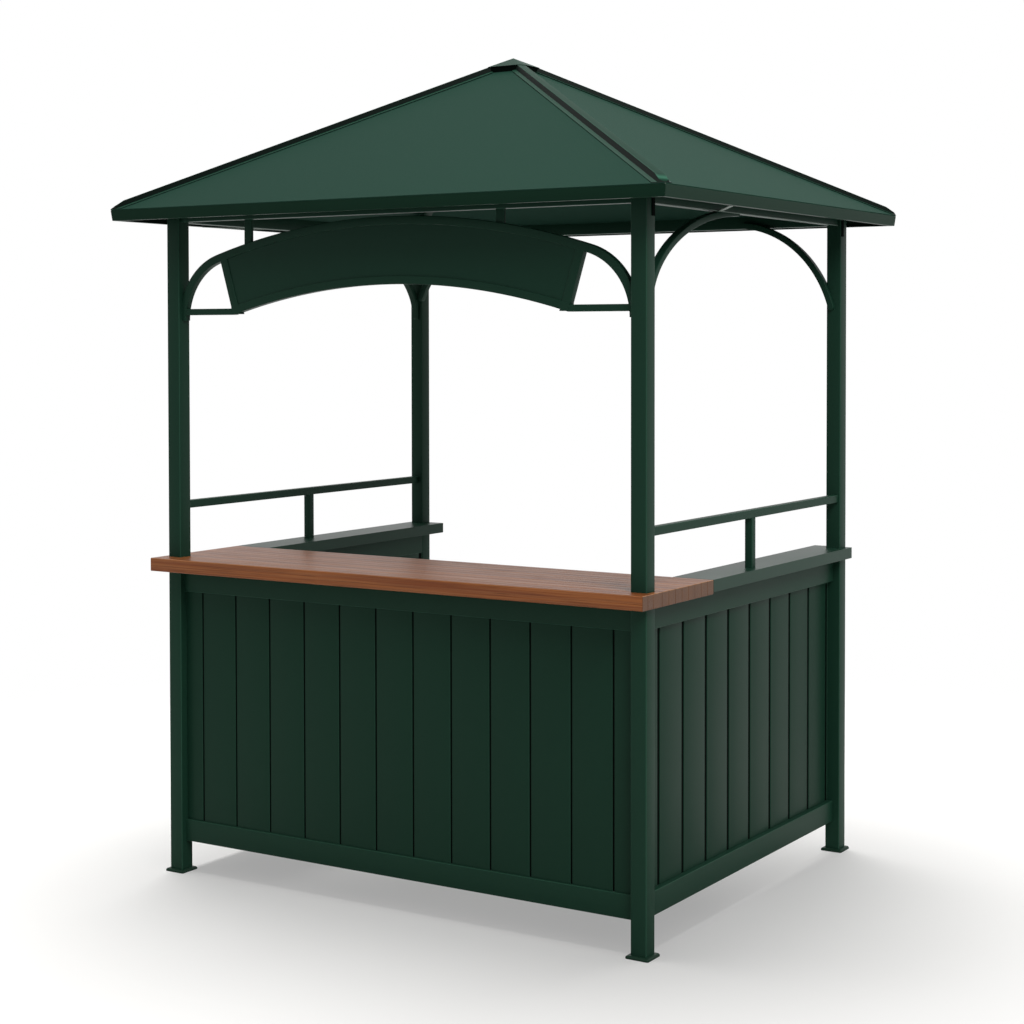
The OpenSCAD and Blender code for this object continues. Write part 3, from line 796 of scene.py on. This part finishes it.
def arch_curve():
    """The arch's crown height, the radius of its long curve and the angle at which that gives
    way to an end, then the centre of an end's curve in X and Z and the post's face. The two
    curves touch, so R - r is the distance between their centres."""
    crown = corners_of("arch_top_bar")[1][2]
    ends_low, ends_high = corners_of("arch_ends")
    post_low, post_high = corners_of("post_front_left")
    end_r = sizes().arch_end_radius
    face, foot = ends_high[0], ends_low[2]
    end_x = face + (post_high[0] - post_low[0]) / 4 - end_r
    fall = crown - foot
    mid_r = (end_x ** 2 + fall ** 2 - end_r ** 2) / (2 * (fall - end_r))
    meet = atan2(end_x, foot - (crown - mid_r))
    return crown, mid_r, meet, end_x, foot, face


class PAVILION_OT_arch(bpy.types.Operator):
    """The arch over the counter: a long flat curve that turns down into two tighter ends"""
    bl_idname = "pavilion.arch"
    bl_label = "Arch"

    def execute(self, context):
        own = sizes()
        low, high = corners_of("arch_top_bar")
        bar = high[1] - low[1]
        crown, mid_r, meet, end_x, foot, face = arch_curve()
        end_r = own.arch_end_radius
        long = np.linspace(-meet, meet, 3 * CURVE_STEPS)
        put("arch_top_bar_bent",
            [bent_bar((0, crown - mid_r), bar / 2, mid_r - bar / 2, long, low[1], high[1],
                      own.bar_edge)], "frame_paint", ("arch_top_bar",), "bent_coat")
        short = np.linspace(meet, pi / 2, CURVE_STEPS)
        parts = [bent_bar((side * end_x, foot), bar / 2, end_r - bar / 2, side * short,
                          low[1] + HIDDEN_LAP, high[1] - HIDDEN_LAP, own.bar_edge, face)
                 for side in (-1, 1)]
        put("arch_ends_bent", parts, "frame_paint", ("arch_ends",), "bent_coat")
        return {"FINISHED"}


class PAVILION_OT_name_board(bpy.types.Operator):
    """The blank name board under the arch, with its stays, and the arch's two hangers"""
    bl_idname = "pavilion.name_board"
    bl_label = "Name board"

    def execute(self, context):
        own = sizes()
        low, high = corners_of("name_board_bottom_bar")
        front, back = low[1], high[1]
        bar = back - front
        half, foot = high[0], low[2]
        rise = high[2] - bar - foot
        radius = (half ** 2 + rise ** 2) / (2 * rise)
        reach = asin(half / radius)
        angles = np.linspace(-reach, reach, 2 * CURVE_STEPS)
        put("name_board_bottom_bar_bent",
            [bent_bar((0, foot + rise - radius), bar / 2, radius + bar / 2, angles, front,
                      back, own.bar_edge)], "frame_paint", ("name_board_bottom_bar",),
            "bent_coat")
        ends_low, ends_high = corners_of("name_board_end_bars")
        lean = (ends_high[0] - half) / (ends_high[2] - foot)
        parts = [self.end_bar(side, half, foot, ends_high[2], lean, front, back)
                 for side in (-1, 1)]
        put("name_board_end_bars_shaped", parts, "frame_paint", ("name_board_end_bars",),
            "bent_coat")
        low, high = corners_of("name_board_stays")
        parts = []
        for side in (-1, 1):
            left, right = sorted((side * half, side * high[0]))
            parts.append(box_bar([left, low[1] + 2 * HIDDEN_LAP, low[2]],
                                 [right, high[1] - 2 * HIDDEN_LAP, high[2]], 0, own.bar_edge))
        put("name_board_stays_bars", parts, "frame_paint", ("name_board_stays",))
        keep_node("name_board_sheet", "name_board_paint")
        self.hangers()
        return {"FINISHED"}

    @staticmethod
    def hangers():
        """Flat straps from the arch to the beam. A foot lies on the arch's top, whose height is
        crown - r + sqrt(r r - x x)."""
        own = sizes()
        low, high = corners_of("arch_hangers")
        top, radius = arch_curve()[:2]
        parts = []
        for x in (low[0], high[0] - own.hanger_width):
            foot = top - radius + radius * cos(asin((x + own.hanger_width / 2) / radius))
            parts.append(box_bar([x, low[1], foot - own.sheet_edge],
                                 [x + own.hanger_width, high[1], high[2]], 2, own.sheet_edge))
        put("arch_hangers_straps", parts, "frame_paint", ("arch_hangers",))

    @staticmethod
    def end_bar(side, half, foot, top, lean, front, back):
        """A bar that leans outwards: each level of its outline is moved by the lean times its
        height over the foot."""
        bar = back - front
        edge = sizes().bar_edge
        lap = 0.004  # over the sheet's end
        centre, direction = rounded_rectangle((half - bar - lap, front + HIDDEN_LAP),
                                              (half, back - HIDDEN_LAP), edge)
        outline = centre + edge * direction
        level = np.array([foot + edge, top + bar / 3])
        x = side * (outline[:, 0] + lean * (level - foot)[:, None])
        return skin(spread(x, outline[:, 1], level[:, None]))


class PAVILION_OT_braces(bpy.types.Operator):
    """Curved braces in the corners between posts and beams"""
    bl_idname = "pavilion.braces"
    bl_label = "Braces"

    def execute(self, context):
        own = sizes()
        low, high = corners_of("side_braces")
        wide = corners_of("back_braces")
        width = wide[1][1] - wide[0][1]
        parts = []
        for side in (-1, 1):
            outer = side * high[0]
            near, far = sorted((outer, outer - side * width))
            start = side * low[1]
            parts.append(self.quarter(1, start, -np.sign(start), near, far, own.brace_reach,
                                      own.brace_drop, high[2] - own.brace_set))
        put("side_braces_bent", parts, "frame_paint", ("side_braces",), "bent_coat")
        low, high = wide
        face = corners_of("back_beam")[1][0]
        inset = own.back_reach * (1 - cos(asin(1 - own.back_foot / own.back_drop)))
        start = face + own.back_lap + inset
        parts = [self.quarter(0, side * start, -side, low[1], high[1],
                              own.back_reach, own.back_drop, high[2],
                              own.back_foot - (own.back_short if side < 0 else 0))
                 for side in (-1, 1)]
        put("back_braces_bent", parts, "frame_paint", ("back_braces",), "bent_coat")
        return {"FINISHED"}

    @staticmethod
    def quarter(axis, start, way, near, far, reach, drop, under, length=None):
        """A quarter oval: out along the beam by reach - (reach + w) cos a and up by
        (drop + w) sin a, where w runs over the bar's depth. It starts at the given length below
        the beam with a rounded foot, and its upper end rises into the beam by half its depth."""
        own = sizes()
        half = own.brace_depth / 2
        centre, direction = rounded_rectangle((-half, near), (half, far), own.bar_edge)
        outline = centre + own.bar_edge * direction
        first = asin(1 - (length or drop) / drop)
        angle = np.linspace(first, pi / 2, CURVE_STEPS)[:, None]
        # The foot's outline grows from a third to its whole depth over the first few rows
        turn = np.linspace(0, pi / 2, 5)
        grown = np.sin(turn) * 0.65 + 0.35
        depth = np.concatenate([grown, np.ones(CURVE_STEPS)])[:, None] * outline[:, 0]
        ahead = half * np.cos(turn)[:-1] / drop
        angle = np.concatenate([first - ahead[:, None], [[first]], angle])
        out = reach - (reach + depth) * np.cos(angle)
        rise = half * ((angle - first) / (pi / 2 - first)).clip(0, 1) ** 3
        up = (drop + depth) * np.sin(angle) + rise
        if length is None:
            out = np.maximum(out, 0)
        grid = np.empty((*out.shape, 3))
        grid[..., axis] = start + way * out
        grid[..., 1 - axis] = outline[:, 1]
        grid[..., 2] = under - drop + up
        return skin(grid)


class PAVILION_OT_roof(bpy.types.Operator):
    """Roof sheets, hip caps, rafters and the cap over the roof's point"""
    bl_idname = "pavilion.roof"
    bl_label = "Roof"

    def execute(self, context):
        for side in ("front", "back", "left", "right"):
            keep_node(f"roof_sheet_{side}", "roof_paint")
        keep_node("hip_rafters", "frame_paint")
        eased_copy("roof_top_cap_folded", "roof_top_cap", "trim_paint", width=0.0008,
                   material="hip_coat")
        parts = [self.hip_cap(sx, sy) for sx, sy in POSTS.values()]
        put("hip_caps_folded", parts, "trim_paint", ("hip_caps",), "hip_coat")
        self.shadow_closure()
        return {"FINISHED"}

    @staticmethod
    def shadow_closure():
        """The filler that closes the gap between the top cap's rim and the sheets, near black as
        a
        painted shadow under the rim: the cap's eight-cornered outline drawn in a little, carried
        down to the sheets."""
        low, high = corners_of("roof_top_cap")
        drawn_in, cut, depth = 0.93, 0.018, 0.023
        x, y = drawn_in * high[:2]
        outline = np.array([(x, y - cut), (x - cut, y), (cut - x, y), (-x, y - cut),
                            (-x, cut - y), (cut - x, -y), (x - cut, -y), (x, cut - y)])
        grid = spread(*outline.T, np.array([[low[2] - depth], [low[2]]]))
        put("top_cap_shadow_closure", [skin(grid)], "trim_paint", material="groove_shade")

    @staticmethod
    def hip_cap(side_x, side_y):
        """A folded strip down one hip. Its section is carried down the hip, and each of its
        lines ends where it meets the eave's upright plane in X or in Y, whichever is nearer.
        The raised strip folds down flat over its last stretch."""
        own = sizes()
        half_w, half_d, eave, top = roof()
        rise = top - eave
        run = hypot(half_w, half_d)
        slope = atan2(rise, run)
        plan = np.array([side_x * half_w, side_y * half_d]) / run
        down = np.array([*(plan * cos(slope)), -sin(slope)])
        across = np.array([-plan[1], plan[0], 0.0])
        up = np.array([*(plan * sin(slope)), cos(slope)])
        front_tilt = rise / half_d * half_w / run * cos(slope)
        side_tilt = rise / half_w * half_d / run * cos(slope)
        plus, minus = (side_tilt, front_tilt) if side_x * side_y < 0 else (front_tilt, side_tilt)
        wide = own.hip_strip / 2
        tip = wide + own.hip_flange
        lift, lean, cap_lap = SHEET + SHEET_GAP, own.hip_lean, 0.009
        over = lift + SHEET

        def section(height):
            corners = [
                (-tip, lift - tip * minus), (0, lift), (tip, lift - tip * plus),
                (tip, over - tip * plus), (wide, over - wide * plus),
                (wide - lean, height), (lean - wide, height),
                (-wide, over - wide * minus), (-tip, over - tip * minus)]
            edge = min(own.sheet_edge, height / 4)
            radii = [CUT_EDGE] * 4 + [FOLD, edge, edge, FOLD, CUT_EDGE]
            outline = soft_outline(corners, radii)
            return np.array([0, 0, top]) + outline[:, :1] * across + outline[:, 1:] * up

        whole, folded = section(own.hip_height), section(over + SHEET)
        end, last = (np.minimum((half_w - side_x * lines[:, 0]) / abs(down[0]),
                                (half_d - side_y * lines[:, 1]) / abs(down[1]))
                     for lines in (whole, folded))
        # The cap's edge over this hip lies at x = out cos t + w sin t
        cap_edge = corners_of("roof_top_cap")[1][0]
        out = (cap_edge - (wide - lean) * abs(plan[1])) / abs(plan[0])
        start = out / cos(slope) - own.hip_height * tan(slope) - cap_lap
        return skin(np.stack([whole + start * down, whole + (end - own.hip_end)[:, None] * down,
                              folded + last[:, None] * down]))


class PAVILION_OT_eaves(bpy.types.Operator):
    """Folded trims along the eaves, with a folded hem on top and mitred corners"""
    bl_idname = "pavilion.eaves"
    bl_label = "Eave trims"

    def execute(self, context):
        half_w, half_d, eave, top = roof()
        for side, (turn, run, half) in {
                "front": (0, half_d, half_w), "right": (1, half_w, half_d),
                "back": (2, half_d, half_w), "left": (3, half_w, half_d)}.items():
            node = f"eave_trim_{side}"
            low, high = corners_of(node)
            put(f"{node}_folded", [self.trim(turn, run, half, low[2], eave)], "trim_paint",
                (node,))
        self.corner_seams(half_w, half_d, eave)
        self.links(half_w)
        self.clips()
        return {"FINISHED"}

    @staticmethod
    def links(half_w):
        """A flat strap on the slant from each side beam out to its trim's return: its width
        lies across the line between them, and it rises a little on its way out. Its light coat
        is a painted highlight, as on the beams' beads."""
        beam_low, beam_high = corners_of("right_beam")
        half, thin, rise = 0.006, 0.0015, 0.0035
        sunk, short, near_y, far_y = 0.003, 0.012, -0.230, -0.399
        start = np.array([beam_high[0] - sunk, near_y])
        end = np.array([half_w - short, far_y])
        way = (end - start) / np.linalg.norm(end - start)
        across = np.array([-way[1], way[0]])
        corners, direction = rounded_rectangle((-half, -thin), (half, thin), CUT_EDGE)
        outline = corners + CUT_EDGE * direction
        plan = np.stack([start, end])[:, None] + outline[:, :1] * across
        heights = beam_low[2] + np.array([[0.0], [rise]]) + outline[:, 1]
        parts = [skin(spread(side * plan[..., 0], plan[..., 1], heights)) for side in (-1, 1)]
        put("eave_links", parts, "frame_paint", material="lip_highlight_coat")

    @staticmethod
    def clips():
        """Small dark plates on the posts' outer faces, where the side beams end."""
        face_x, face_y = corners_of("post_front_right")[1][:2]
        beam = corners_of("right_beam")[0][2]
        sunk, proud, near, far, below, above = 0.001, 0.0025, 0.004, 0.021, 0.036, 0.020
        parts = []
        for side_x, side_y in POSTS.values():
            x = np.sort(side_x * np.array([face_x - sunk, face_x + proud]))
            y = np.sort(side_y * -np.array([face_y - near, face_y - far]))
            parts.append(box_bar([x[0], y[0], beam - below], [x[1], y[1], beam + above], 2,
                                 FOLD, FOLD))
        put("beam_clips", parts, "frame_paint", material="groove_shade")

    @staticmethod
    def trim(turn, run, half, foot, eave):
        """The trim's section, carried along the eave. A line of the section that lies d inside
        the outer face stops d short of the corner, which makes the mitre."""
        hem, lean, lip = sizes().hem, 0.004, 0.016
        hem_foot = eave - 0.005
        corners = [
            (lean, foot), (lean + lip, foot), (lean + lip, foot + SHEET),
            (lean + SHEET, foot + SHEET), (SHEET, hem_foot), (hem, hem_foot), (hem, eave),
            (0, eave)]
        radii = [FOLD, CUT_EDGE, CUT_EDGE, 0.0008, CUT_EDGE, CUT_EDGE, FOLD, 0.0024]
        inside, height = soft_outline(corners, radii).T
        reach = half - inside - HIDDEN_LAP
        along, depth = np.stack([-reach, reach]), inside - run
        c, s = (1, 0, -1, 0)[turn], (0, 1, 0, -1)[turn]
        return skin(spread(c * along - s * depth, s * along + c * depth, height))

    @staticmethod
    def corner_seams(half_w, half_d, eave):
        """A thin bead over each mitre, which leans in towards its foot as the trims do, in a
        pale coat that is a painted highlight on the corner.
        """
        foot = corners_of("eave_trim_front")[0][2]
        inset, lean, radius = 0.003, 0.0035, 0.0020
        level = np.array([[foot + 0.001], [eave + 0.002]])
        inwards = np.array([[inset + lean], [inset]])
        x, y = radius * circle(12).T
        beads = [skin(spread(sx * (half_w - inwards) + x, sy * (half_d - inwards) + y, level))
                 for sx, sy in POSTS.values()]
        put("eave_corner_seams", beads, "trim_paint", material="corner_highlight_coat")


# Name, place, size, power and whether the lamp is for the floor or for the pavilion
LAMPS = (
    ("floor light", (-0.6, 0.6, 7.0), 5.0, 860.0, True),
    ("key", (5.2, -3.3, 6.3), 4.0, 390.0, False),
    ("top", (-1.5, 0.0, 7.0), 5.0, 115.0, False),
)


class PAVILION_OT_stage(bpy.types.Operator):
    """Floor, lamps, background and camera"""
    bl_idname = "pavilion.stage"
    bl_label = "Stage"

    def execute(self, context):
        self.floor()
        self.background(context.scene)
        for name, place, size, power, on_floor in LAMPS:
            self.light_only(self.lamp(name, place, size, power), on_floor)
        self.camera(context.scene)
        context.scene.view_settings.view_transform = "Standard"
        return {"FINISHED"}

    @staticmethod
    def floor():
        """A disc whose points are r cos a, r sin a, which fades out towards its rim."""
        radius, fade_start, fade_length = 12, 1.6, 2.2
        ring = spread(*(circle(128) * radius).T, 0.0)
        mesh = bpy.data.meshes.new("floor")
        mesh.from_pydata(ring.tolist(), [], [list(range(len(ring)))])
        floor = bpy.data.objects.new("floor", mesh)
        bpy.context.scene.collection.objects.link(floor)
        material = bpy.data.materials.new("studio_floor")
        shader = Shader(material)
        coordinates = shader.node("ShaderNodeTexCoord", {}, {}, "Object")
        distance = shader.node("ShaderNodeVectorMath", {"operation": "LENGTH"},
                               {0: coordinates}, "Value")
        faded = ((distance - fade_start) / fade_length).clamped()
        plain = shader.node("ShaderNodeBsdfDiffuse", {},
                            {"Color": (*linear(colours().floor), 1.0)})
        white = shader.node("ShaderNodeEmission", {}, {"Color": (1, 1, 1, 1), "Strength": 1.0})
        camera = shader.node("ShaderNodeLightPath", {}, {}, "Is Camera Ray")
        pale = shader.node("ShaderNodeMixShader", {}, {0: camera * 0.32, 1: plain, 2: white})
        clear = shader.node("ShaderNodeBsdfTransparent", {}, {})
        shader.output(shader.node("ShaderNodeMixShader", {}, {0: faded, 1: pale, 2: clear}))
        mesh.materials.append(material)

    @staticmethod
    def background(scene):
        """Soft light all round, and plain white wherever the camera or a reflection looks."""
        world = bpy.data.worlds.new("studio")
        scene.world = world
        shader = Shader(world)
        soft = shader.node("ShaderNodeBackground", {}, {"Color": (1, 1, 1, 1), "Strength": 0.30})
        white = shader.node("ShaderNodeBackground", {}, {"Color": (1, 1, 1, 1), "Strength": 1.0})
        camera, glossy, through = (
            shader.node("ShaderNodeLightPath", {}, {}, f"Is {kind} Ray")
            for kind in ("Camera", "Glossy", "Transmission"))
        seen = (camera + glossy + through).clamped()
        shader.output(shader.node("ShaderNodeMixShader", {}, {0: seen, 1: soft, 2: white}),
                      "ShaderNodeOutputWorld")

    @staticmethod
    def lamp(name, place, size, power):
        data = bpy.data.lights.new(name, "AREA")
        data.shape = "DISK"
        data.size = size
        data.energy = power
        lamp = bpy.data.objects.new(name, data)
        bpy.context.scene.collection.objects.link(lamp)
        lamp.location = place
        aim = Vector((0, 0, 1.2)) - lamp.location
        lamp.rotation_euler = aim.to_track_quat("-Z", "Y").to_euler()
        return lamp

    @staticmethod
    def light_only(lamp, on_floor):
        """The lamp lights the floor alone, or all but the floor."""
        lit = bpy.data.collections.new(f"lit by {lamp.name}")
        lit.objects.link(bpy.data.objects["floor"])
        lit.collection_objects[0].light_linking.link_state = "INCLUDE" if on_floor else "EXCLUDE"
        lamp.light_linking.receiver_collection = lit

    @staticmethod
    def camera(scene):
        data = bpy.data.cameras.new("camera")
        data.sensor_width = 36.0
        data.lens = 68.56
        data.shift_x = -0.0135
        data.shift_y = -0.1192
        camera = bpy.data.objects.new("camera", data)
        scene.collection.objects.link(camera)
        camera.location = (3.4312, -5.4079, 1.7227)
        camera.rotation_euler = Euler((pi / 2 - 0.0266, 0.0012, 0.5592))
        scene.camera = camera


class PAVILION_PT_panel(bpy.types.Panel):
    """Lists the pavilion's operators"""
    bl_idname = "PAVILION_PT_panel"
    bl_label = "Garden bar pavilion"
    bl_space_type = "VIEW_3D"
    bl_region_type = "UI"
    bl_category = "Pavilion"

    def draw(self, context):
        for operator in OPERATORS:
            self.layout.operator(operator.bl_idname)
        for group in (context.scene.pavilion_sizes, context.scene.pavilion_colours):
            column = self.layout.column()
            for name in group.__annotations__:
                column.prop(group, name)


OPERATORS = (
    PAVILION_OT_posts, PAVILION_OT_feet, PAVILION_OT_rails, PAVILION_OT_boards,
    PAVILION_OT_counter, PAVILION_OT_shelves, PAVILION_OT_arch, PAVILION_OT_name_board,
    PAVILION_OT_braces, PAVILION_OT_roof, PAVILION_OT_eaves, PAVILION_OT_stage)
CLASSES = (PavilionSizes, PavilionColours, *OPERATORS, PAVILION_PT_panel)


def register():
    for cls in CLASSES:
        bpy.utils.register_class(cls)
    bpy.types.Scene.pavilion_sizes = PointerProperty(type=PavilionSizes)
    bpy.types.Scene.pavilion_colours = PointerProperty(type=PavilionColours)


def unregister():
    del bpy.types.Scene.pavilion_colours
    del bpy.types.Scene.pavilion_sizes
    for cls in reversed(CLASSES):
        bpy.utils.unregister_class(cls)


def main():
    register()
    for operator in OPERATORS:
        group, name = operator.bl_idname.split(".")
        getattr(getattr(bpy.ops, group), name)()


if __name__ == "__main__":
    main()
